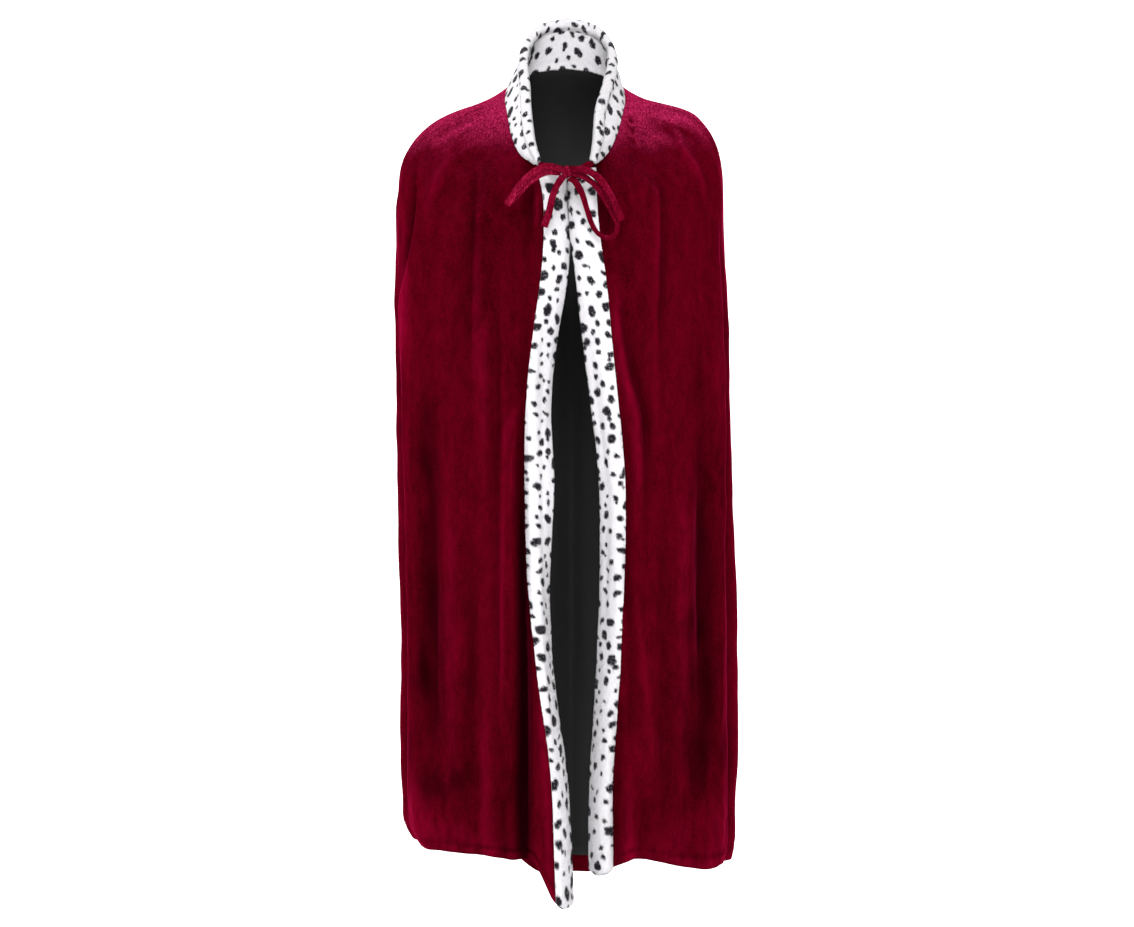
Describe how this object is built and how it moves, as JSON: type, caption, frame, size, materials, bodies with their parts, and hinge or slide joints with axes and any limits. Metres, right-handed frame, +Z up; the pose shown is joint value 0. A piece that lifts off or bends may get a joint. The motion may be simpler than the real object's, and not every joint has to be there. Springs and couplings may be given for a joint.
{
  "type": "royal mantle",
  "caption": "Floor-length velvet cape with a standing spotted-fur collar, fur-banded front edges, a dark lining and velvet ties in a bow, in its worn hollow form.",
  "frame": {"origin": "middle of the neck, level with the sides of the neckline, where the wearer's neck and shoulders carry the weight", "axes": "+Z up along the wearer's body, the front opening faces -Y, the wearer's left is at +X"},
  "size_m": [0.5568, 0.3304, 1.4575],
  "materials": {
    "velvet": "deep crimson crushed velvet, short pile",
    "lining": "plain matt black lining cloth",
    "fur": "white short-pile faux fur with scattered black spots",
    "tie": "crimson velvet ribbon, folded and stitched"
  },
  "bodies": {
    "root": {"front_right": "velvet", "front_left": "velvet", "back": "velvet", "lining_front_right": "lining", "lining_front_left": "lining", "lining_back": "lining", "trim_right": "fur", "trim_left": "fur", "collar": "fur", "collar_facing": "fur", "tie_right": "tie", "tie_left": "tie", "bow_knot": "tie", "bow_loop_right": "tie", "bow_loop_left": "tie", "bow_end_right": "tie", "bow_end_left": "tie"}
  },
  "joints": []
}
